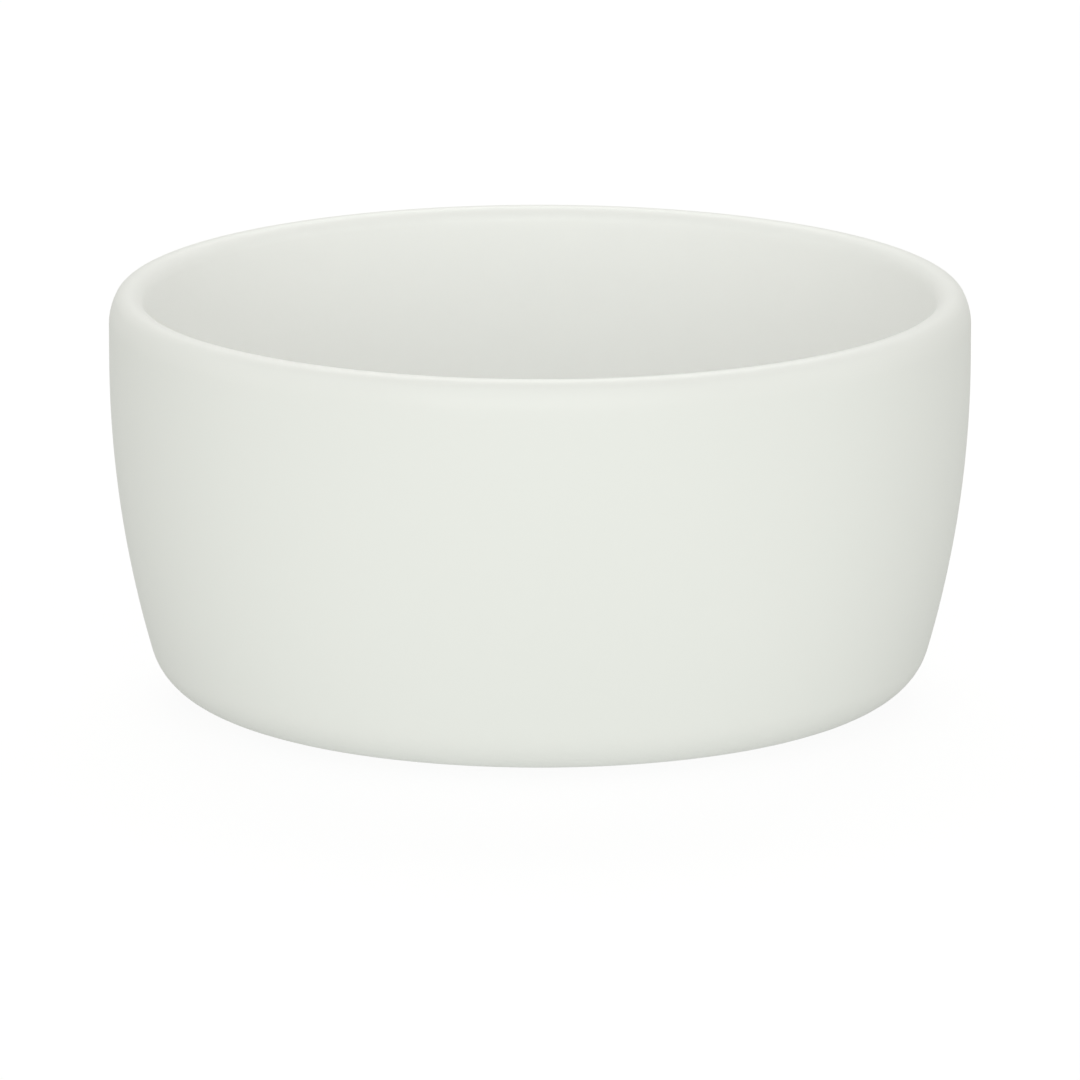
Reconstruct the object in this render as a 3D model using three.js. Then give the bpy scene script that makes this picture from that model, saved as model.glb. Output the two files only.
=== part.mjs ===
// A sauce dish: a small round porcelain bowl with a full-round lip on a soft shoulder, a wall that
// draws in towards the base, a foot ring, and a skin of glaze that leaves the foot ring bare.
// Millimetres, +Z up. The origin is on the table, under the centre of the bowl.

import * as THREE from "three";

// The dish as it is held, measured over the glaze.
const RIM_DIAMETER = 80; // across the upright band below the shoulder
const DISH_HEIGHT = 38.8; // table to the top of the lip
const WALL_THICKNESS = 3.2; // across the upright band
const SHOULDER_HEIGHT = 3; // top of the lip to the foot of its outer shoulder
const SHOULDER_SET = 0.4; // how far the shoulder draws in from the band to the lip
const BAND_HEIGHT = 3.5; // upright band between the shoulder and the belly
const BELLY_RADIUS = 100; // slow curve of the outer wall, tangent to the band
const BASE_RADIUS = 5.6; // outer turn from the belly to the underside
const BOWL_RADIUS = 7; // inner turn from the wall to the bowl floor
const FLOOR_THICKNESS = 3.8; // bowl floor above the ceiling of the well

// The foot ring: bare porcelain at its resting face and sides.
const FOOT_DIAMETER = 52;
const FOOT_WIDTH = 3;
const FOOT_HEIGHT = 1.2; // table to the glazed underside outside the ring
const WELL_DEPTH = 1.5; // table to the glazed ceiling inside the ring
const FOOT_FILLET = 0.3; // glazed turn from the underside, or the well, to the ring
const FOOT_EDGE = 0.3; // rounded edges of the resting face

// The glaze: one skin over the outside, lip and bowl, and one in the well.
const GLAZE_THICKNESS = 0.3;
const GLAZE_GAP = 0.02; // hair gap that keeps the two solids apart

// How finely round shapes are cut into flat facets.
const SIDES = 48; // facets round the dish
const CHORD_ERROR = 0.06; // furthest that a facet lies from the true curve of the profile

// Places that follow from the sizes above.
const SKIN = GLAZE_THICKNESS + GLAZE_GAP; // depth of the porcelain under the glazed surface
const RIM_RADIUS = RIM_DIAMETER / 2;
const FOOT_OUTSIDE = FOOT_DIAMETER / 2;
const FOOT_INSIDE = FOOT_OUTSIDE - FOOT_WIDTH;
const LIP_RADIUS = (WALL_THICKNESS - SHOULDER_SET) / 2; // full round on what the shoulder leaves
const LIP_CENTRE = { r: RIM_RADIUS - SHOULDER_SET - LIP_RADIUS, z: DISH_HEIGHT - LIP_RADIUS };
const SHOULDER_DROP = SHOULDER_HEIGHT - LIP_RADIUS; // how far the shoulder's centre lies below the lip's
const SHOULDER_TURN = 2 * Math.atan2(SHOULDER_SET, SHOULDER_DROP); // slope where they meet in line
const SHOULDER_RADIUS = LIP_RADIUS + SHOULDER_DROP / Math.sin(SHOULDER_TURN);
const SHOULDER_CENTRE = { r: RIM_RADIUS - SHOULDER_RADIUS, z: DISH_HEIGHT - SHOULDER_HEIGHT };
const BELLY_CENTRE = { r: RIM_RADIUS - BELLY_RADIUS, z: SHOULDER_CENTRE.z - BAND_HEIGHT };
const BOWL_FLOOR = WELL_DEPTH + FLOOR_THICKNESS;

const GLAZE = new THREE.MeshStandardMaterial({ color: 0xe8ebe4, roughness: 0.45, metalness: 0 });
const PORCELAIN = new THREE.MeshStandardMaterial({ color: 0xe6e3da, roughness: 0.7, metalness: 0 });

// Facets that a round stretch of the profile needs to stay within the chord error.
function arcSteps(radius, sweep) {
  const widest = 2 * Math.acos(Math.max(0, 1 - CHORD_ERROR / radius));
  return Math.max(2, Math.ceil(Math.abs(sweep) / widest));
}

// Profile points along an arc of the glazed surface. The surface sinks by depth: a convex arc gets
// tighter and a hollow one wider about the same centre, so that both stay parallel facet by facet.
function arc(centre, radius, from, to, depth, hollow) {
  const steps = arcSteps(radius, to - from);
  const sunk = hollow ? radius + depth : radius - depth;
  return Array.from({ length: steps + 1 }, (_, i) => {
    const angle = from + ((to - from) * i) / steps;
    return new THREE.Vector2(centre.r + sunk * Math.cos(angle), centre.z + sunk * Math.sin(angle));
  });
}

// The turn at the foot of a wall: an arc of the given radius that touches both the level plane at
// bottom and, from inside, the wall's belly arc. Gives its centre and the lean of the wall there.
function wallTurn(bellyRadius, radius, bottom) {
  const apart = bellyRadius - radius;
  const z = bottom + radius;
  const lean = Math.asin((BELLY_CENTRE.z - z) / apart);
  return { centre: { r: BELLY_CENTRE.r + apart * Math.cos(lean), z }, lean };
}

// Profile of the surface that the glaze covers, sunk by depth: from the middle of the bowl floor up
// the inner wall, over the lip, down the outer wall and in under the base to the foot ring.
function dishSurface(depth) {
  const innerBelly = BELLY_RADIUS - WALL_THICKNESS;
  const bowl = wallTurn(innerBelly, BOWL_RADIUS, BOWL_FLOOR);
  const base = wallTurn(BELLY_RADIUS, BASE_RADIUS, FOOT_HEIGHT);
  const footTurn = { r: FOOT_OUTSIDE + SKIN + FOOT_FILLET, z: FOOT_HEIGHT - FOOT_FILLET };
  return [
    new THREE.Vector2(0, BOWL_FLOOR - depth),
    ...arc(bowl.centre, BOWL_RADIUS, -Math.PI / 2, -bowl.lean, depth, true),
    ...arc(BELLY_CENTRE, innerBelly, -bowl.lean, 0, depth, true).slice(1),
    ...arc(LIP_CENTRE, LIP_RADIUS, Math.PI, SHOULDER_TURN, depth, false),
    ...arc(SHOULDER_CENTRE, SHOULDER_RADIUS, SHOULDER_TURN, 0, depth, false).slice(1),
    ...arc(BELLY_CENTRE, BELLY_RADIUS, 0, -base.lean, depth, false),
    ...arc(base.centre, BASE_RADIUS, -base.lean, -Math.PI / 2, depth, false).slice(1),
    ...arc(footTurn, FOOT_FILLET, Math.PI / 2, Math.PI, depth, true),
  ];
}

// Profile of the well inside the foot ring, sunk by depth, from the ring to the middle.
function wellSurface(depth) {
  const turn = { r: FOOT_INSIDE - SKIN - FOOT_FILLET, z: WELL_DEPTH - FOOT_FILLET };
  return [
    ...arc(turn, FOOT_FILLET, 0, Math.PI / 2, depth, true),
    new THREE.Vector2(0, WELL_DEPTH + depth),
  ];
}

// Profile of the bare end of the foot ring: its resting face and the two rounded edges beside it.
function restingFace() {
  const outer = { r: FOOT_OUTSIDE - FOOT_EDGE, z: FOOT_EDGE };
  const inner = { r: FOOT_INSIDE + FOOT_EDGE, z: FOOT_EDGE };
  return [
    ...arc(outer, FOOT_EDGE, 0, -Math.PI / 2, 0, false),
    ...arc(inner, FOOT_EDGE, -Math.PI / 2, -Math.PI, 0, false),
  ];
}

// A solid of revolution about Z. The profile starts and ends on the axis and runs down the outside.
function revolved(name, profile, material) {
  const geometry = new THREE.LatheGeometry([...profile].reverse(), SIDES).rotateX(Math.PI / 2);
  const mesh = new THREE.Mesh(geometry, material);
  mesh.name = name;
  return mesh;
}

// The fired clay: bowl, wall, base and foot ring in one piece.
function porcelainBody() {
  return revolved(
    "porcelain_body",
    [...dishSurface(SKIN), ...restingFace(), ...wellSurface(SKIN)],
    PORCELAIN,
  );
}

// The glass skin that runs from the bowl over the lip and down to the glaze line on the foot.
function glazeCoat() {
  return revolved(
    "glaze_coat",
    [...dishSurface(0), ...dishSurface(GLAZE_THICKNESS).reverse()],
    GLAZE,
  );
}

// The glass skin in the well, cut off from the coat by the bare foot ring.
function wellGlaze() {
  return revolved(
    "well_glaze",
    [...wellSurface(GLAZE_THICKNESS).reverse(), ...wellSurface(0)],
    GLAZE,
  );
}

const sauceDish = new THREE.Group();
sauceDish.name = "sauce_dish";
sauceDish.add(porcelainBody(), glazeCoat(), wellGlaze());

export default sauceDish;
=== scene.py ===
"""The looks of a small round sauce dish in white glazed porcelain.

The dish is turned about +Z. One section, whose arcs run into each other, gives every surface: the
glazed one at depth nought, and the porcelain's own, which lies a skin's depth below it. A profile is
an array of rows that hold a distance from the axis and a height above the table. Lengths are in
metres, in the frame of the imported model.
"""

import logging
import math
from abc import ABC, abstractmethod
from dataclasses import dataclass
from enum import Enum

import bpy
import numpy as np
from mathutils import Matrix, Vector


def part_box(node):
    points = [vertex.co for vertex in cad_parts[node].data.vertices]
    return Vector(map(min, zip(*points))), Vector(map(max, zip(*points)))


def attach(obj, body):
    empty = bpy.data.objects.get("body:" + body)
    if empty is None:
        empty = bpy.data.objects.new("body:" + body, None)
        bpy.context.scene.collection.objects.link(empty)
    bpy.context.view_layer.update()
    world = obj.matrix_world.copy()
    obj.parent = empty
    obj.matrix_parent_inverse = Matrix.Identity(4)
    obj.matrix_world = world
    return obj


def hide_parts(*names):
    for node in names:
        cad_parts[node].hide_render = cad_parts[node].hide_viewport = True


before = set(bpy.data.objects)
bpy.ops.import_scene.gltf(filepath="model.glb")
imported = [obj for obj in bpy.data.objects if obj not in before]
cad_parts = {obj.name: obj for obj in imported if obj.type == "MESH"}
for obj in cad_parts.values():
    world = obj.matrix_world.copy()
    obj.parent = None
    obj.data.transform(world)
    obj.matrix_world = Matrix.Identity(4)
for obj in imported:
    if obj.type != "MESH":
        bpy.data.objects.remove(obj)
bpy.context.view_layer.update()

LOG = logging.getLogger("sauce_dish")
BODY = "root"  # the one body that every piece rides on
QUARTER_TURN = math.pi / 2
HALF_TURN = math.pi
FULL_TURN = 2 * math.pi
SAME_PLACE = 1e-8  # profile points closer than this are one point
NODE_COLUMN = 200  # spacing of shader nodes on their sheet

Triple = tuple[float, float, float]
Colour = tuple[float, float, float, float]
Socket = bpy.types.NodeSocket
Feed = Socket | float | Colour
Feeds = dict[str | int, Feed]

WHITE: Colour = (1.0, 1.0, 1.0, 1.0)


class Node(Enum):
    """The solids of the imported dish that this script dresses."""

    PORCELAIN = "porcelain_body"
    COAT = "glaze_coat"
    WELL = "well_glaze"


class Slot(Enum):
    """The record's material slots."""

    PORCELAIN = "porcelain"
    GLAZE = "glaze"


class Bend(Enum):
    """Which way an arc of the section curves, and how its radius changes with each unit of depth."""

    PROUD = -1.0
    HOLLOW = 1.0


class Mark(Enum):
    """Values that a piece carries at its vertices for its finish to read."""

    GATHER = "gather"
    # This mark holds painted light, which whitens the glaze in the bowl and over the lip.
    PAINTED_LIGHT = "painted_light"
    FLASH = "flash"
    WEAR = "wear"


@dataclass(frozen=True)
class Fineness:
    """How closely a surface is cut into facets.

    Attributes:
        longest: The longest step along a profile.
        quarter_steps: The fewest steps in a quarter turn of an arc.
    """

    longest: float
    quarter_steps: int


SHOWN = Fineness(longest=0.001, quarter_steps=14)
HIDDEN = Fineness(longest=0.004, quarter_steps=6)
SIDES = 256  # facets round the dish


@dataclass(frozen=True)
class Arc:
    """A round stretch of the section, from one angle to another about its centre.

    Attributes:
        centre_r: Axis to the centre.
        centre_z: Table to the centre.
        radius: Its radius on the glazed surface.
        start: Angle of its first point, measured from the outward direction up towards +Z.
        end: Angle of its last point, measured likewise.
        bend: Which way it curves.
    """

    centre_r: float
    centre_z: float
    radius: float
    start: float
    end: float
    bend: Bend = Bend.PROUD

    def points(self, depth: float, fineness: Fineness) -> np.ndarray:
        """Points along the arc, sunk below the surface about the same centre.

        A point lies at the centre plus the radius times the cosine and sine of its angle. The radius
        shrinks by the depth on a proud arc and grows by it on a hollow one.

        Args:
            depth: How far below the glazed surface the points lie.
            fineness: How closely the arc is cut.

        Returns:
            Rows of distance from the axis and height.
        """
        sweep = abs(self.end - self.start)
        by_turn = fineness.quarter_steps * sweep / QUARTER_TURN
        by_length = self.radius * sweep / fineness.longest
        angle = np.linspace(self.start, self.end, math.ceil(max(by_turn, by_length)) + 1)
        radius = self.radius + self.bend.value * depth
        return np.column_stack((
            self.centre_r + radius * np.cos(angle),
            self.centre_z + radius * np.sin(angle),
        ))


def cut_to_length(profile: np.ndarray, longest: float) -> np.ndarray:
    """Drops doubled points of a profile and cuts its straight stretches into equal steps.

    A stretch of length l is cut into the least whole number of steps that are no longer than longest.

    Args:
        profile: Rows of distance from the axis and height.
        longest: The longest step that is left whole.

    Returns:
        The profile with the added rows.
    """
    apart = np.linalg.norm(np.diff(profile, axis=0), axis=1) > SAME_PLACE
    profile = profile[np.concatenate(([True], apart))]
    stretch = np.diff(profile, axis=0)
    cuts = np.ceil(np.linalg.norm(stretch, axis=1) / longest).astype(int)
    nth = np.arange(cuts.sum()) - np.repeat(np.cumsum(cuts) - cuts, cuts)
    step = np.repeat(stretch / cuts[:, None], cuts, axis=0)
    return np.vstack((np.repeat(profile[:-1], cuts, axis=0) + step * nth[:, None], profile[-1:]))


def hollowness(profile: np.ndarray, reach: float, sharpness: float) -> np.ndarray:
    """Says where a fluid skin gathers: above nought in hollows, and below it over proud edges.

    The turn of the profile for each unit of length, times sharpness, is squeezed into -1 to 1 by tanh,
    and then averaged along the profile with a bell-shaped weight that is reach wide.

    Args:
        profile: Rows of distance from the axis and height, with the solid on the right hand.
        reach: How far a place draws from its neighbours.
        sharpness: The radius at which a turn starts to count as sharp.

    Returns:
        One value for each row.
    """
    stretch = np.diff(profile, axis=0)
    length = np.linalg.norm(stretch, axis=1)
    heading = np.unwrap(np.arctan2(stretch[:, 1], stretch[:, 0]))
    share = np.concatenate((length[:1], length[:-1] + length[1:], length[-1:])) / 2
    turn = np.concatenate(([0.0], np.diff(heading), [0.0])) / share
    along = np.concatenate(([0.0], np.cumsum(length)))
    weight = share * np.exp(-0.5 * ((along[:, None] - along) / reach) ** 2)
    return weight @ np.tanh(sharpness * turn) / weight.sum(axis=1)


@dataclass(frozen=True)
class Section:
    """The section of the dish: its sizes over the glaze, and the arcs that they place.

    Attributes:
        rim_radius: Axis to the upright band below the shoulder.
        height: Table to the top of the lip.
        skin: Depth of the porcelain below the glazed surface.
        foot_inside: Axis to the inner side of the foot ring.
        foot_height: Table to the underside round the foot ring.
        well_height: Table to the ceiling of the well.
        glaze: Thickness of the glaze.
        wall: Thickness of the wall.
        shoulder_height: Top of the lip to the foot of its outer shoulder.
        shoulder_set: How far the shoulder draws in from the band to the lip.
        band: Height of the upright band between the shoulder and the belly.
        belly: Radius of the outer wall's slow curve.
        base_turn: Radius from the belly to the underside.
        bowl_turn: Radius from the inner wall to the bowl floor.
        bowl_floor: Table to the bowl floor.
        foot_width: Width of the foot ring.
        foot_fillet: Radius from the underside, or the well, to the foot ring.
        foot_edge: Radius of the edges of the resting face.
    """

    rim_radius: float
    height: float
    skin: float
    foot_inside: float
    foot_height: float
    well_height: float
    glaze: float
    wall: float = 0.0032
    shoulder_height: float = 0.003
    shoulder_set: float = 0.0004
    band: float = 0.0035
    belly: float = 0.1
    base_turn: float = 0.0056
    bowl_turn: float = 0.007
    bowl_floor: float = 0.0053
    foot_width: float = 0.003
    foot_fillet: float = 0.0003
    foot_edge: float = 0.0003

    @classmethod
    def from_frame(cls, glaze: float = 0.0003) -> "Section":
        """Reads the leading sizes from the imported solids.

        Args:
            glaze: Thickness of the glaze.

        Returns:
            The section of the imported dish.
        """
        coat_low, coat_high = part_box(Node.COAT.value)
        well_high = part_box(Node.WELL.value)[1]
        skin = coat_high.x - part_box(Node.PORCELAIN.value)[1].x
        return cls(
            rim_radius=coat_high.x,
            height=coat_high.z,
            skin=skin,
            foot_inside=well_high.x + skin - glaze,
            foot_height=coat_low.z + cls.foot_fillet,
            well_height=well_high.z - glaze,
            glaze=glaze,
        )

    @property
    def foot_outside(self) -> float:
        """Axis to the outer side of the foot ring."""
        return self.foot_inside + self.foot_width

    @property
    def coat_line(self) -> float:
        """Height of the line on the foot ring where the coat ends."""
        return self.foot_height - self.foot_fillet

    @property
    def well_line(self) -> float:
        """Height of the line inside the foot ring where the well's glaze ends."""
        return self.well_height - self.foot_fillet

    @property
    def belly_centre(self) -> tuple[float, float]:
        """Centre of the wall's slow curve, level with the lower edge of the band."""
        return self.rim_radius - self.belly, self.height - self.shoulder_height - self.band

    def lip_arcs(self) -> tuple[Arc, Arc]:
        """The lip's full round, and the shoulder that leads from it into the upright band.

        The round takes what the shoulder leaves of the wall's thickness. The arcs meet in line at a
        slope whose half has the tangent set over drop, where drop is the height of the round's centre
        above the shoulder's. The shoulder's radius is the round's plus drop over the slope's sine.

        Returns:
            The round, from the inside outwards, and the shoulder, downwards.
        """
        lip = (self.wall - self.shoulder_set) / 2
        drop = self.shoulder_height - lip
        slope = 2 * math.atan2(self.shoulder_set, drop)
        shoulder = lip + drop / math.sin(slope)
        lip_r = self.rim_radius - self.shoulder_set - lip
        shoulder_z = self.height - self.shoulder_height
        return (
            Arc(lip_r, self.height - lip, lip, HALF_TURN, slope),
            Arc(self.rim_radius - shoulder, shoulder_z, shoulder, slope, 0.0),
        )

    def wall_arcs(self, belly: float, turn: float, bottom: float, bend: Bend) -> tuple[Arc, Arc]:
        """The two arcs of a wall: its slow belly, and the turn that touches belly and bottom plane.

        The turn's centre is one turn radius above the bottom, and belly minus turn from the belly's
        centre, so that the arcs meet in line. The sine of the lean there is their centres' difference
        in height over that distance.

        Args:
            belly: Radius of the wall's slow curve.
            turn: Radius of the turn at its foot.
            bottom: Height of the plane that the turn runs into.
            bend: Which way both arcs curve.

        Returns:
            The belly's arc, downwards, and the turn's arc, towards the axis.
        """
        centre_r, centre_z = self.belly_centre
        apart = belly - turn
        lean = math.asin((centre_z - bottom - turn) / apart)
        turn_r = centre_r + apart * math.cos(lean)
        return (
            Arc(centre_r, centre_z, belly, 0.0, -lean, bend),
            Arc(turn_r, bottom + turn, turn, -lean, -QUARTER_TURN, bend),
        )

    def dish_surface(self, depth: float, fineness: Fineness) -> np.ndarray:
        """Profile of the surface that the coat covers.

        It runs from the middle of the bowl floor up the inner wall, over the lip, down the outer wall
        and in under the base to the foot ring. Straight stretches join its arcs.

        Args:
            depth: How far below the glazed surface it lies.
            fineness: How closely it is cut.

        Returns:
            Rows of distance from the axis and height.
        """
        inner = self.wall_arcs(self.belly - self.wall, self.bowl_turn, self.bowl_floor, Bend.HOLLOW)
        outer = self.wall_arcs(self.belly, self.base_turn, self.foot_height, Bend.PROUD)
        fillet_r = self.foot_outside + self.skin + self.foot_fillet
        fillet = Arc(
            fillet_r, self.coat_line, self.foot_fillet, QUARTER_TURN, HALF_TURN, Bend.HOLLOW
        )
        upwards = [arc.points(depth, fineness)[::-1] for arc in reversed(inner)]
        downwards = [arc.points(depth, fineness) for arc in (*self.lip_arcs(), *outer, fillet)]
        middle = np.array([[0.0, self.bowl_floor - depth]])
        return cut_to_length(np.vstack((middle, *upwards, *downwards)), fineness.longest)

    def well_surface(self, depth: float, fineness: Fineness) -> np.ndarray:
        """Profile of the well's ceiling and the turn round it, from the foot ring to the middle.

        Args:
            depth: How far below the glazed surface it lies.
            fineness: How closely it is cut.

        Returns:
            Rows of distance from the axis and height.
        """
        fillet_r = self.foot_inside - self.skin - self.foot_fillet
        fillet = Arc(fillet_r, self.well_line, self.foot_fillet, 0.0, QUARTER_TURN, Bend.HOLLOW)
        middle = np.array([[0.0, self.well_height + depth]])
        return cut_to_length(np.vstack((fillet.points(depth, fineness), middle)), fineness.longest)

    def resting_face(self, fineness: Fineness) -> np.ndarray:
        """Profile of the bare end of the foot ring, from its outer side to its inner side.

        Args:
            fineness: How closely it is cut.

        Returns:
            Rows of distance from the axis and height.
        """
        edge = self.foot_edge
        outer = Arc(self.foot_outside - edge, edge, edge, 0.0, -QUARTER_TURN)
        inner = Arc(self.foot_inside + edge, edge, edge, -QUARTER_TURN, -HALF_TURN)
        ends = (outer.points(0.0, fineness), inner.points(0.0, fineness))
        return cut_to_length(np.vstack(ends), fineness.longest)

    def bead(self, middle_r: float, line: float, fineness: Fineness) -> np.ndarray:
        """Profile of the round edge in which a glaze skin ends, bulging down from outside to inside.

        Args:
            middle_r: Axis to the middle of the skin's thickness.
            line: Height of the glaze line.
            fineness: How closely it is cut.

        Returns:
            Rows of distance from the axis and height.
        """
        return Arc(middle_r, line, self.glaze / 2, 0.0, -HALF_TURN).points(0.0, fineness)


@dataclass(frozen=True)
class GlazeLine:
    """The line to which the glaze was wiped off the foot, which wanders a little round the ring.

    Attributes:
        upper: Height above which the glaze isn't moved.
        lower: Height of the line.
        seed: Start of the waves' random phases.
        sway: Size that a single wave round the ring would have.
        slowest: Fewest waves round the ring.
        quickest: Most waves round the ring.
        fade: Power with which the move grows on the way down from upper to lower.
    """

    upper: float
    lower: float
    seed: int
    sway: float = 0.0001
    slowest: int = 2
    quickest: int = 14
    fade: int = 4

    def wander(self, grid: np.ndarray) -> np.ndarray:
        """Moves the edge of a turned skin up and down round the ring.

        The move is a sum of cosines of whole numbers of waves round the ring, each as large as sway
        over its number. It is weighted by the way down from upper, at nought, to lower, at one, to
        the power of fade.

        Args:
            grid: Points of the skin by ring and side.

        Returns:
            The moved points.
        """
        angle = np.linspace(0.0, FULL_TURN, grid.shape[1], endpoint=False)
        waves = np.arange(self.slowest, self.quickest + 1)[:, None]
        phase = np.random.default_rng(self.seed).uniform(0.0, FULL_TURN, waves.shape)
        move = (self.sway / waves * np.cos(waves * angle + phase)).sum(axis=0)
        way_down = np.clip((self.upper - grid[..., 2]) / (self.upper - self.lower), 0.0, 1.0)
        moved = grid.copy()
        moved[..., 2] += way_down**self.fade * move
        return moved


def turned_grid(profile: np.ndarray) -> np.ndarray:
    """Carries a profile round +Z.

    The point of row i at side j lies at the row's distance times the cosine and sine of the side's
    angle, and at the row's height.

    Args:
        profile: Rows of distance from the axis and height.

    Returns:
        Points by row and side.
    """
    angle = np.linspace(0.0, FULL_TURN, SIDES, endpoint=False)
    level = np.broadcast_to(profile[:, 1:], (len(profile), SIDES))
    return np.stack((profile[:, :1] * np.cos(angle), profile[:, :1] * np.sin(angle), level), axis=-1)


def turned_object(name: str, grid: np.ndarray, marks: dict[Mark, np.ndarray]) -> bpy.types.Object:
    """Makes a closed solid from a turned grid whose first and last rows lie on the axis.

    Neighbouring rows are joined by quads, and the two rows on the axis become poles with fans.

    Args:
        name: Name of the new object.
        grid: Points by row and side, with the solid on the right of the profile.
        marks: One value for each row, by the mark that holds it.

    Returns:
        The object, at the origin.
    """
    rings = grid.shape[0] - 2
    vertices = np.vstack((grid[0, :1], grid[1:-1].reshape(-1, 3), grid[-1, :1]))
    here = 1 + np.arange(rings * SIDES).reshape(rings, SIDES)
    beside = np.roll(here, -1, axis=1)
    quads = np.stack((here[:-1], here[1:], beside[1:], beside[:-1]), axis=-1).reshape(-1, 4)
    first = np.column_stack((np.zeros(SIDES, int), here[0], beside[0]))
    last = np.column_stack((here[-1], np.full(SIDES, len(vertices) - 1), beside[-1]))
    mesh = bpy.data.meshes.new(name)
    mesh.from_pydata(vertices.tolist(), [], quads.tolist() + first.tolist() + last.tolist())
    mesh.shade_smooth()
    for mark, values in marks.items():
        spread = np.concatenate((values[:1], np.repeat(values[1:-1], SIDES), values[-1:]))
        layer = mesh.attributes.new(mark.value, "FLOAT", "POINT")
        layer.data.foreach_set("value", spread.astype(np.float32))
    mesh.validate()
    made = bpy.data.objects.new(name, mesh)
    bpy.context.scene.collection.objects.link(made)
    return made


class NodeSheet:
    """Adds shader nodes to one tree, from left to right, and links them."""

    def __init__(self, tree: bpy.types.NodeTree) -> None:
        """Starts an empty sheet on the tree."""
        self.tree = tree
        self.tree.nodes.clear()

    def add(self, kind: str, feeds: Feeds | None = None, **settings: object) -> bpy.types.Node:
        """Adds a node.

        Args:
            kind: Blender's name for the node's type.
            feeds: Value of an input, or the socket that feeds it, by the input's name or number.
            settings: Properties of the node itself, which are set before its inputs.

        Returns:
            The new node.
        """
        node = self.tree.nodes.new(kind)
        node.location.x = len(self.tree.nodes) * NODE_COLUMN
        for name, value in settings.items():
            setattr(node, name, value)
        for name, value in (feeds or {}).items():
            if isinstance(value, Socket):
                self.tree.links.new(value, node.inputs[name])
            else:
                node.inputs[name].default_value = value
        return node

    def work_out(self, operation: str, *terms: Feed) -> Socket:
        """Works out a Math operation of its terms."""
        return self.add("ShaderNodeMath", dict(enumerate(terms)), operation=operation).outputs[0]

    def spread(self, value: Feed, low: Feed, high: Feed, to_low: Feed, to_high: Feed) -> Socket:
        """Maps value from low..high to to_low..to_high, held within those ends."""
        feeds = dict(enumerate((value, low, high, to_low, to_high)))
        return self.add("ShaderNodeMapRange", feeds).outputs[0]

    def blend(self, share: Feed, plain: Feed, other: Feed) -> Socket:
        """Mixes two colours by a share of the second."""
        feeds = {0: share, 6: plain, 7: other}  # the numbers of the factor and the two colours
        return self.add("ShaderNodeMix", feeds, data_type="RGBA").outputs[2]

    def mark(self, mark: Mark) -> Socket:
        """Reads a value that the piece carries at its vertices."""
        return self.add("ShaderNodeAttribute", attribute_name=mark.value).outputs["Fac"]

    def relief(self, height: Socket, depth: float, strength: float) -> Socket:
        """Turns a height into the normal of a relief that is depth deep where the height is one."""
        feeds = {"Strength": strength, "Distance": depth, "Height": height}
        return self.add("ShaderNodeBump", feeds).outputs["Normal"]

    def by_camera(self, unseen: Socket, seen: Socket) -> Socket:
        """Takes one shader for the light that reaches the dish, and another for what the camera sees."""
        direct = self.add("ShaderNodeLightPath").outputs["Is Camera Ray"]
        return self.add("ShaderNodeMixShader", {0: direct, 1: unseen, 2: seen}).outputs[0]


def new_material(name: str) -> tuple[bpy.types.Material, NodeSheet]:
    """Starts a material.

    Args:
        name: Name of the material.

    Returns:
        The material and its empty sheet.
    """
    made = bpy.data.materials.new(name)
    made.use_nodes = True
    return made, NodeSheet(made.node_tree)


def new_group(
    name: str, takes: tuple[str, ...], gives: tuple[str, ...]
) -> tuple[NodeSheet, bpy.types.Node]:
    """Starts a shader node group.

    Args:
        name: Name of the group.
        takes: Names of the inputs.
        gives: Names of the outputs.

    Returns:
        The group's sheet, and the node that brings its inputs in.
    """
    tree = bpy.data.node_groups.new(name, "ShaderNodeTree")
    for direction, labels in (("INPUT", takes), ("OUTPUT", gives)):
        for label in labels:
            tree.interface.new_socket(label, in_out=direction, socket_type="NodeSocketFloat")
    sheet = NodeSheet(tree)
    return sheet, sheet.add("NodeGroupInput")


@dataclass(frozen=True)
class Waves:
    """Unevenness of a fired surface: slow swells with fine grain on them.

    Attributes:
        slow: Length of the swells.
        fine: Length of the grain.
        fine_share: Height of the grain over the height of the swells.
    """

    slow: float
    fine: float
    fine_share: float

    @staticmethod
    def group(detail: float = 2.0, fall: float = 0.45) -> bpy.types.NodeTree:
        """Makes the node group of the waves.

        Swells and grain are noise over the piece's own place, with waves of the sizes asked for. Height
        is the swells plus the grain times its share, and Tone is the swells by themselves.

        Args:
            detail: How many finer layers of noise lie on the first.
            fall: Strength of each finer layer over the one before.

        Returns:
            The group, with inputs Slow Size, Fine Size and Fine Share, and outputs Height and Tone.
        """
        takes = ("Slow Size", "Fine Size", "Fine Share")
        sheet, into = new_group("fired_waves", takes, ("Height", "Tone"))
        place = sheet.add("ShaderNodeTexCoord").outputs["Object"]
        levels = []
        for size in ("Slow Size", "Fine Size"):
            scale = sheet.work_out("DIVIDE", 1.0, into.outputs[size])
            feeds = {"Vector": place, "Scale": scale, "Detail": detail, "Roughness": fall}
            levels.append(sheet.add("ShaderNodeTexNoise", feeds).outputs["Fac"])
        swells, grain = levels
        height = sheet.work_out("MULTIPLY_ADD", grain, into.outputs["Fine Share"], swells)
        sheet.add("NodeGroupOutput", {"Height": height, "Tone": swells})
        return sheet.tree

    def place(self, sheet: NodeSheet, group: bpy.types.NodeTree) -> bpy.types.Node:
        """Adds the waves' group to a material's sheet, with these sizes."""
        feeds = {"Slow Size": self.slow, "Fine Size": self.fine, "Fine Share": self.fine_share}
        return sheet.add("ShaderNodeGroup", feeds, node_tree=group)


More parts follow.
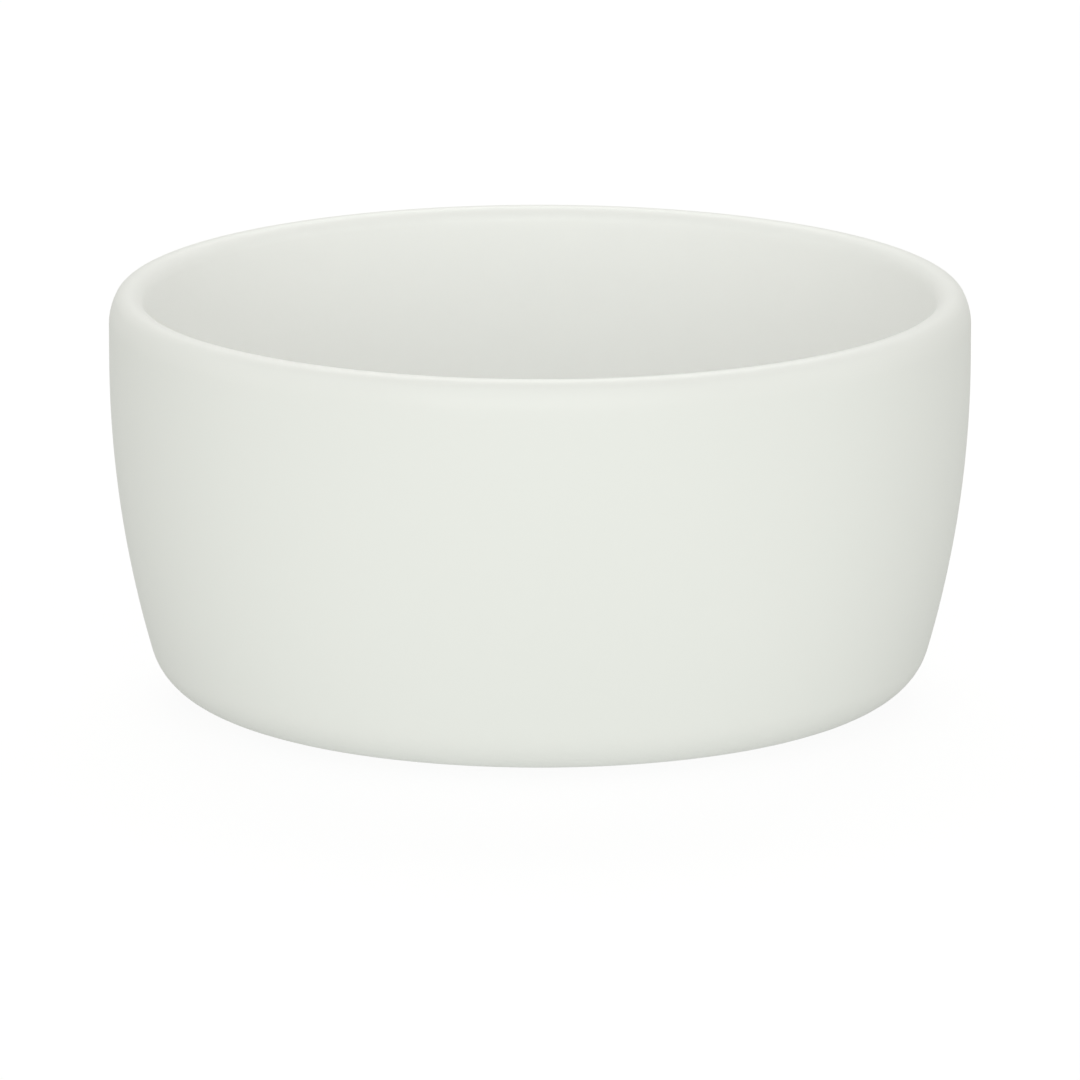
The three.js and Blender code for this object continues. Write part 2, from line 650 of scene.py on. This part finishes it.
@dataclass(frozen=True)
class Specks:
    """Scattered specks or pinholes.

    Attributes:
        spacing: Distance from one place for a speck to the next.
        radius: Radius of a speck.
        chosen: Share of the places that hold a speck.
    """

    spacing: float
    radius: float
    chosen: float

    @staticmethod
    def group() -> bpy.types.NodeTree:
        """Makes the node group of the specks.

        Space is split into cells of the spacing. A cell holds a speck at its heart if its random number
        is under the share, and the mask fades from one to nought over the speck's radius.

        Returns:
            The group, with inputs Spacing, Radius and Share, and output Mask.
        """
        sheet, into = new_group("scattered_specks", ("Spacing", "Radius", "Share"), ("Mask",))
        place = sheet.add("ShaderNodeTexCoord").outputs["Object"]
        scale = sheet.work_out("DIVIDE", 1.0, into.outputs["Spacing"])
        cell = sheet.add("ShaderNodeTexVoronoi", {"Vector": place, "Scale": scale})
        chance = sheet.add("ShaderNodeSeparateColor", {0: cell.outputs["Color"]}).outputs[0]
        chosen = sheet.work_out("LESS_THAN", chance, into.outputs["Share"])
        away = sheet.work_out("MULTIPLY", cell.outputs["Distance"], into.outputs["Spacing"])
        spot = sheet.spread(away, 0.0, into.outputs["Radius"], 1.0, 0.0)
        sheet.add("NodeGroupOutput", {"Mask": sheet.work_out("MULTIPLY", spot, chosen)})
        return sheet.tree

    def place(self, sheet: NodeSheet, group: bpy.types.NodeTree) -> bpy.types.Node:
        """Adds the specks' group to a material's sheet, with these sizes."""
        feeds = {"Spacing": self.spacing, "Radius": self.radius, "Share": self.chosen}
        return sheet.add("ShaderNodeGroup", feeds, node_tree=group)


@dataclass(frozen=True)
class FiredGroups:
    """The node groups that both finishes share.

    Attributes:
        waves: The group of a surface's unevenness.
        specks: The group of scattered specks.
    """

    waves: bpy.types.NodeTree
    specks: bpy.types.NodeTree

    @classmethod
    def build(cls) -> "FiredGroups":
        """Makes both groups."""
        return cls(Waves.group(), Specks.group())


@dataclass(frozen=True)
class GlazeFinish:
    """White glaze: a satin glass skin, greener where it gathers, with painted light in the bowl and lip.

    Attributes:
        groups: The shared node groups.
        name: Name of the material.
        thin: Colour over proud edges, where the glaze has run thin.
        thick: Colour in hollows, where it gathers.
        gather_range: Gather marks at which thin and thick are reached.
        tone_sway: How far the swells shift the share of thick to either side.
        painted_light_colour: Whiter colour painted in the bowl and over the lip, standing in for light
            there.
        painted_light_strength: How much of that painted light shows at most.
        speck: Colour of a pinhole.
        speck_strength: How much of that colour shows at most.
        smooth: Roughness at the low end of the swells.
        dull: Roughness at their high end.
        waves: Sizes of the swells and of the peel on them.
        specks: Sizes of the pinholes.
        ripple: Depth of the relief that swells, peel and pinholes make.
        ripple_strength: How strongly that relief shows.
        index: Refractive index of the glass.
    """

    groups: FiredGroups
    name: str = "white_glaze"
    thin: Colour = (0.822, 0.822, 0.804, 1.0)
    thick: Colour = (0.808, 0.816, 0.794, 1.0)
    gather_range: tuple[float, float] = (-0.9, 0.9)
    tone_sway: float = 0.25
    # Painted light: a whiter colour in the bowl and over the lip, standing in for the light there.
    painted_light_colour: Colour = (0.916, 0.917, 0.908, 1.0)
    painted_light_strength: float = 0.9
    speck: Colour = (0.62, 0.60, 0.53, 1.0)
    speck_strength: float = 0.35
    smooth: float = 0.40
    dull: float = 0.50
    waves: Waves = Waves(slow=0.016, fine=0.0011, fine_share=0.12)
    specks: Specks = Specks(spacing=0.007, radius=0.00013, chosen=0.06)
    ripple: float = 0.00002
    ripple_strength: float = 0.35
    index: float = 1.5

    def material(self) -> bpy.types.Material:
        """Makes the glaze's material.

        Returns:
            The material, which reads the piece's gather and pour marks.
        """
        made, sheet = new_material(self.name)
        waves = self.waves.place(sheet, self.groups.waves)
        specks = self.specks.place(sheet, self.groups.specks)
        depth = sheet.spread(sheet.mark(Mark.GATHER), *self.gather_range, 0.0, 1.0)
        sway = sheet.spread(waves.outputs["Tone"], 0.0, 1.0, -self.tone_sway, self.tone_sway)
        glaze_tone = sheet.blend(sheet.work_out("ADD", depth, sway), self.thin, self.thick)
        # Painted light: the glaze is blended whiter in the bowl and over the lip.
        painted_light = sheet.work_out("MULTIPLY", sheet.mark(Mark.PAINTED_LIGHT), self.painted_light_strength)
        body = sheet.blend(painted_light, glaze_tone, self.painted_light_colour)
        spotted = sheet.work_out("MULTIPLY", specks.outputs["Mask"], self.speck_strength)
        colour = sheet.blend(spotted, body, self.speck)
        rough = sheet.spread(waves.outputs["Tone"], 0.0, 1.0, self.smooth, self.dull)
        height = sheet.work_out("SUBTRACT", waves.outputs["Height"], specks.outputs["Mask"])
        normal = sheet.relief(height, self.ripple, self.ripple_strength)
        feeds = {"Base Color": colour, "Roughness": rough, "IOR": self.index, "Normal": normal}
        shader = sheet.add("ShaderNodeBsdfPrincipled", feeds)
        sheet.add("ShaderNodeOutputMaterial", {"Surface": shader.outputs[0]})
        return made


@dataclass(frozen=True)
class PorcelainFinish:
    """Bare fired porcelain: matt, finely grained, blushed next to the glaze and worn where it stands.

    Attributes:
        groups: The shared node groups.
        name: Name of the material.
        pale: Colour at the low end of the swells.
        deep: Colour at their high end.
        tone_range: Values of the swells at which pale and deep are reached.
        blush: Colour next to the glaze line.
        blush_strength: How much of that colour shows at most.
        rubbed: Colour where the foot ring rubs on the table.
        rubbed_strength: How much of that colour shows at most.
        speck: Colour of a speck in the clay.
        speck_strength: How much of that colour shows at most.
        smooth: Roughness at the low end of height_range.
        dull: Roughness at its high end.
        height_range: Heights of swells and grain between which the roughness changes.
        waves: Sizes of the swells and of the grain on them.
        specks: Sizes of the specks.
        grain: Depth of the relief that swells and grain make.
        grain_strength: How strongly that relief shows.
    """

    groups: FiredGroups
    name: str = "bare_porcelain"
    pale: Colour = (0.80, 0.78, 0.72, 1.0)
    deep: Colour = (0.72, 0.69, 0.62, 1.0)
    tone_range: tuple[float, float] = (0.3, 0.7)
    blush: Colour = (0.66, 0.53, 0.40, 1.0)
    blush_strength: float = 0.5
    rubbed: Colour = (0.60, 0.58, 0.54, 1.0)
    rubbed_strength: float = 0.35
    speck: Colour = (0.38, 0.33, 0.27, 1.0)
    speck_strength: float = 0.5
    smooth: float = 0.62
    dull: float = 0.82
    height_range: tuple[float, float] = (0.5, 1.2)
    waves: Waves = Waves(slow=0.004, fine=0.0002, fine_share=0.9)
    specks: Specks = Specks(spacing=0.0014, radius=0.00009, chosen=0.3)
    grain: float = 0.00002
    grain_strength: float = 0.6

    def material(self) -> bpy.types.Material:
        """Makes the bare porcelain's material.

        Returns:
            The material, which reads the piece's flash and wear marks.
        """
        made, sheet = new_material(self.name)
        waves = self.waves.place(sheet, self.groups.waves)
        specks = self.specks.place(sheet, self.groups.specks)
        tone = sheet.spread(waves.outputs["Tone"], *self.tone_range, 0.0, 1.0)
        clay = sheet.blend(tone, self.pale, self.deep)
        flash = sheet.work_out("MULTIPLY", sheet.mark(Mark.FLASH), self.blush_strength)
        blushed = sheet.blend(flash, clay, self.blush)
        wear = sheet.work_out("MULTIPLY", sheet.mark(Mark.WEAR), self.rubbed_strength)
        worn = sheet.blend(sheet.work_out("MULTIPLY", wear, tone), blushed, self.rubbed)
        spotted = sheet.work_out("MULTIPLY", specks.outputs["Mask"], self.speck_strength)
        colour = sheet.blend(spotted, worn, self.speck)
        height = waves.outputs["Height"]
        rough = sheet.spread(height, *self.height_range, self.smooth, self.dull)
        normal = sheet.relief(height, self.grain, self.grain_strength)
        feeds = {"Base Color": colour, "Roughness": rough, "Normal": normal}
        shader = sheet.add("ShaderNodeBsdfPrincipled", feeds)
        sheet.add("ShaderNodeOutputMaterial", {"Surface": shader.outputs[0]})
        return made


@dataclass
class FiredPiece(ABC):
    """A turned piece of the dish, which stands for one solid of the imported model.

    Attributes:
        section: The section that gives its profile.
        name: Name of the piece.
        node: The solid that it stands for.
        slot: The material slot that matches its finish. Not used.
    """

    section: Section
    name: str
    node: Node
    slot: Slot

    @abstractmethod
    def build(self) -> bpy.types.Object:
        """Makes the piece's mesh."""

    def dress(self, piece: bpy.types.Object, material: bpy.types.Material) -> None:
        """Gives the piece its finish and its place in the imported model.

        Args:
            piece: The built piece.
            material: Its finish.
        """
        piece.data.materials.append(material)
        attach(piece, BODY)
        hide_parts(self.node.value)
        LOG.info("%s: %d faces, %s", piece.name, len(piece.data.polygons), material.name)


@dataclass
class PorcelainBody(FiredPiece):
    """The fired clay: bowl, wall, base and foot ring, of which only the foot ring shows.

    Attributes:
        flash_reach: Height over which the blush next to a glaze line falls off.
        wear_reach: Height over which the wear falls off from the table.
    """

    flash_reach: float = 0.0003
    wear_reach: float = 0.00008

    def build(self) -> bpy.types.Object:
        """Makes the body under the glaze, with its foot ring.

        Flash falls off exponentially from the glaze line of its side of the ring, and wear from the
        table.

        Returns:
            The body's object.
        """
        section = self.section
        stretches = (
            section.dish_surface(section.skin, HIDDEN),
            section.resting_face(SHOWN),
            section.well_surface(section.skin, HIDDEN),
        )
        profile = cut_to_length(np.vstack(stretches), HIDDEN.longest)
        distance, height = profile.T
        outside = distance > section.foot_inside + section.foot_width / 2
        line = np.where(outside, section.coat_line, section.well_line)
        marks = {
            Mark.FLASH: np.exp(-np.abs(height - line) / self.flash_reach),
            Mark.WEAR: np.exp(-height / self.wear_reach),
        }
        return turned_object(self.name, turned_grid(profile), marks)


@dataclass
class GlazeSkin(FiredPiece):
    """A skin of glaze with a shown face, a hidden one against the porcelain, and a beaded edge.

    Attributes:
        gather_reach: Length along the profile over which the gathering evens out.
        gather_sharpness: Radius at which a turn starts to count as sharp.
        line_seed: Start of the random phases of its glaze line.
    """

    gather_reach: float = 0.0012
    gather_sharpness: float = 0.004
    line_seed: int = 5

    def turn(self, profile: np.ndarray, painted_light: np.ndarray, line: GlazeLine) -> bpy.types.Object:
        """Carries the skin's profile round, with its edge on the wandering line.

        Args:
            profile: Rows of distance from the axis and height.
            painted_light: For each row, the share of painted light that whitens the glaze, from nought
                to one.
            line: The line at which the skin ends.

        Returns:
            The skin's object.
        """
        gather = hollowness(profile, self.gather_reach, self.gather_sharpness)
        marks = {Mark.GATHER: gather, Mark.PAINTED_LIGHT: painted_light}
        return turned_object(self.name, line.wander(turned_grid(profile)), marks)


@dataclass
class GlazeCoat(GlazeSkin):
    """The skin that runs from the bowl over the lip and down to the glaze line on the foot.

    Attributes:
        painted_light_overlap: How far the painted light reaches down the outside from the lip's crown.
        painted_light_edge: Length over which it fades in from there.
    """

    # Painted light reaches from the bowl over the lip's crown and this far down the outside.
    painted_light_overlap: float = 0.0035
    painted_light_edge: float = 0.0055

    def build(self) -> bpy.types.Object:
        """Makes the coat.

        It carries painted light that whitens the bowl and the lip: the share is the length along the
        profile back from where the painted light ends, over painted_light_edge, held within nought and
        one.

        Returns:
            The coat's object.
        """
        section = self.section
        middle = section.foot_outside + section.skin - section.glaze / 2
        stretches = (
            section.dish_surface(0.0, SHOWN),
            section.bead(middle, section.coat_line, SHOWN),
            section.dish_surface(section.glaze, HIDDEN)[::-1],
        )
        profile = cut_to_length(np.vstack(stretches), HIDDEN.longest)
        along = np.concatenate(([0.0], np.cumsum(np.linalg.norm(np.diff(profile, axis=0), axis=1))))
        # The painted light is full in the bowl and fades out over the lip and down the outside.
        painted_light_end = along[np.argmax(profile[:, 1])] + self.painted_light_overlap
        painted_light = np.clip((painted_light_end - along) / self.painted_light_edge, 0.0, 1.0)
        line = GlazeLine(section.foot_height, section.coat_line, self.line_seed)
        return self.turn(profile, painted_light, line)


@dataclass
class WellGlaze(GlazeSkin):
    """The skin in the well under the dish, cut off from the coat by the bare foot ring."""

    line_seed: int = 11

    def build(self) -> bpy.types.Object:
        """Makes the well's glaze, which carries no painted light.

        Returns:
            The skin's object.
        """
        section = self.section
        middle = section.foot_inside - section.skin + section.glaze / 2
        stretches = (
            section.well_surface(section.glaze, HIDDEN)[::-1],
            section.bead(middle, section.well_line, SHOWN),
            section.well_surface(0.0, SHOWN),
        )
        profile = cut_to_length(np.vstack(stretches), HIDDEN.longest)
        line = GlazeLine(section.well_height, section.well_line, self.line_seed)
        return self.turn(profile, np.zeros(len(profile)), line)


@dataclass(frozen=True)
class SoftBox:
    """A soft studio light: a lit rectangle that faces the dish and that the camera doesn't see.

    Attributes:
        name: Name of the light.
        place: Centre of the rectangle.
        size: Its level side and its other side.
        watts: Its power.
        tint: Its colour.
        aim: The point that it faces.
    """

    name: str
    place: Triple
    size: tuple[float, float]
    watts: float
    tint: Triple
    aim: Triple = (0.0, 0.0, 0.02)

    def build(self) -> bpy.types.Object:
        """Hangs the light.

        Returns:
            The light's object.
        """
        lamp = bpy.data.lights.new(self.name, "AREA")
        lamp.shape = "RECTANGLE"
        lamp.size, lamp.size_y = self.size
        lamp.energy = self.watts
        lamp.color = self.tint
        made = bpy.data.objects.new(self.name, lamp)
        made.location = self.place
        towards = Vector(self.aim) - Vector(self.place)
        made.rotation_euler = towards.to_track_quat("-Z", "Y").to_euler()
        made.visible_camera = False
        bpy.context.scene.collection.objects.link(made)
        return made


FRONT_TINT: Triple = (0.965, 1.0, 0.96)
BACK_TINT: Triple = (0.99, 1.0, 0.97)
SIDE_TINT: Triple = (1.0, 0.99, 0.93)


@dataclass(frozen=True)
class Studio:
    """A plain pale floor under soft light, as in a white tent.

    Attributes:
        floor_side: Side of the square floor.
        floor_drop: How far the floor lies below the foot ring.
        floor_roughness: Roughness of the floor.
        floor_tone: Grey of the floor to the camera.
        floor_glow: The floor's own light to the camera.
        floor_bounce: Grey of the floor to the light that reaches the dish.
        uplight_colour: Colour of the light that the floor sends up to the dish.
        front_uplight: Strength of that light in front of the dish.
        back_uplight: Its strength behind the dish.
        front_edge: Places along Y between which the one fades into the other.
        tent_colour: Colour of the light from all round.
        tent_light: Strength of that light.
        boxes: The soft lights.
    """

    floor_side: float = 6.0
    floor_drop: float = 0.00002
    floor_roughness: float = 0.9
    floor_tone: float = 0.12
    floor_glow: float = 0.90
    floor_bounce: float = 0.3
    uplight_colour: Colour = (0.97, 1.0, 0.955, 1.0)
    front_uplight: float = 0.555
    back_uplight: float = 0.34
    front_edge: tuple[float, float] = (-0.04, 0.0)
    tent_colour: Colour = (0.995, 1.0, 0.955, 1.0)
    tent_light: float = 0.565
    boxes: tuple[SoftBox, ...] = (
        SoftBox("low_front_box", (0.0, -1.6, 0.35), size=(2.2, 0.6), watts=7.6, tint=FRONT_TINT),
        SoftBox("front_box", (0.0, -1.45, 0.85), size=(2.2, 0.8), watts=3.1, tint=FRONT_TINT),
        SoftBox("back_box", (0.0, 1.0, 1.3), size=(1.2, 0.8), watts=8.6, tint=BACK_TINT),
        SoftBox("left_box", (-1.5, -0.2, 0.45), size=(0.8, 0.8), watts=1.85, tint=SIDE_TINT),
        SoftBox("right_box", (1.5, -0.2, 0.45), size=(0.8, 0.8), watts=2.1, tint=SIDE_TINT),
    )

    def build(self) -> None:
        """Lays the floor, hangs the lights and sets the tent."""
        self.floor()
        for box in self.boxes:
            box.build()
        self.tent()
        bpy.context.scene.view_settings.view_transform = "Standard"

    def floor(self) -> bpy.types.Object:
        """Makes the floor, a square just under the foot ring.

        Returns:
            The floor's object.
        """
        half = self.floor_side / 2
        corner = half * np.array([(-1.0, -1.0), (1.0, -1.0), (1.0, 1.0), (-1.0, 1.0)])
        level = np.full((len(corner), 1), -self.floor_drop)
        mesh = bpy.data.meshes.new("floor")
        mesh.from_pydata(np.hstack((corner, level)).tolist(), [], [range(len(corner))])
        mesh.materials.append(self.floor_finish())
        made = bpy.data.objects.new("floor", mesh)
        bpy.context.scene.collection.objects.link(made)
        return made

    def floor_finish(self) -> bpy.types.Material:
        """Makes the floor's material, which is white to the camera and lights the dish from below.

        Returns:
            The material, whose light is stronger in front of the dish than behind it.
        """
        made, sheet = new_material("pale_floor")
        place = sheet.add("ShaderNodeTexCoord").outputs["Object"]
        back = sheet.add("ShaderNodeSeparateXYZ", {0: place}).outputs["Y"]
        uplight = sheet.spread(back, *self.front_edge, self.front_uplight, self.back_uplight)
        unseen = self.floor_shader(sheet, self.floor_bounce, self.uplight_colour, uplight)
        seen = self.floor_shader(sheet, self.floor_tone, WHITE, self.floor_glow)
        sheet.add("ShaderNodeOutputMaterial", {"Surface": sheet.by_camera(unseen, seen)})
        return made

    def floor_shader(self, sheet: NodeSheet, tone: float, light: Colour, glow: Feed) -> Socket:
        """Adds a matt grey shader that gives off light.

        Args:
            sheet: The floor material's sheet.
            tone: Grey of the surface.
            light: Colour of the light that it gives off.
            glow: Strength of that light.

        Returns:
            The shader.
        """
        feeds = {"Base Color": (tone, tone, tone, 1.0), "Emission Color": light}
        feeds |= {"Emission Strength": glow, "Roughness": self.floor_roughness}
        feeds["Specular IOR Level"] = 0.0
        return sheet.add("ShaderNodeBsdfPrincipled", feeds).outputs[0]

    def tent(self) -> None:
        """Lights the scene from all round, with white behind the dish."""
        world = bpy.data.worlds.new("tent")
        bpy.context.scene.world = world
        world.use_nodes = True
        sheet = NodeSheet(world.node_tree)
        light = {"Color": self.tent_colour, "Strength": self.tent_light}
        unseen = sheet.add("ShaderNodeBackground", light).outputs[0]
        seen = sheet.add("ShaderNodeBackground", {"Color": WHITE, "Strength": 1.0}).outputs[0]
        sheet.add("ShaderNodeOutputWorld", {"Surface": sheet.by_camera(unseen, seen)})


@dataclass(frozen=True)
class Viewpoint:
    """The camera at the photograph's angle, placed by where the rim falls in the frame.

    Attributes:
        distance: Camera to the middle of the rim.
        elevation: Degrees of the camera above the rim, seen from the rim's middle.
        frame_px: Side of the square photograph.
        rim_radius_px: Half the rim's width in the photograph.
        rim_row_px: Row of the rim's middle in the photograph.
        sensor: Side of the sensor in millimetres.
    """

    distance: float = 1.0
    elevation: float = 12.2
    frame_px: float = 1080.0
    rim_radius_px: float = 431.0
    rim_row_px: float = 289.0
    sensor: float = 36.0

    def build(self, section: Section) -> bpy.types.Object:
        """Places the camera.

        The focal length in pixels is the rim's radius in pixels times the distance over its radius in
        metres. The camera tips down by the elevation, and by the angle that the rim's row subtends
        above the middle of the frame.

        Args:
            section: The dish's section, for its rim.

        Returns:
            The camera's object.
        """
        rise = math.radians(self.elevation)
        focal_px = self.rim_radius_px * self.distance / section.rim_radius
        tip = rise + math.atan((self.frame_px / 2 - self.rim_row_px) / focal_px)
        optics = bpy.data.cameras.new("camera")
        optics.sensor_width = self.sensor
        optics.lens = self.sensor * focal_px / self.frame_px
        made = bpy.data.objects.new("camera", optics)
        away = self.distance * math.cos(rise)
        made.location = (0.0, -away, section.height + self.distance * math.sin(rise))
        made.rotation_euler = (QUARTER_TURN - tip, 0.0, 0.0)
        bpy.context.scene.collection.objects.link(made)
        bpy.context.scene.camera = made
        return made


def main() -> None:
    """Builds the dish, its studio and its camera."""
    logging.basicConfig(level=logging.INFO)
    section = Section.from_frame()
    groups = FiredGroups.build()
    glaze = GlazeFinish(groups).material()
    porcelain = PorcelainFinish(groups).material()
    pieces = (
        (PorcelainBody(section, "turned_porcelain", Node.PORCELAIN, Slot.PORCELAIN), porcelain),
        (GlazeCoat(section, "fired_coat", Node.COAT, Slot.GLAZE), glaze),
        (WellGlaze(section, "fired_well", Node.WELL, Slot.GLAZE), glaze),
    )
    for piece, finish in pieces:
        piece.dress(piece.build(), finish)
    Studio().build()
    Viewpoint().build(section)


if __name__ == "__main__":
    main()
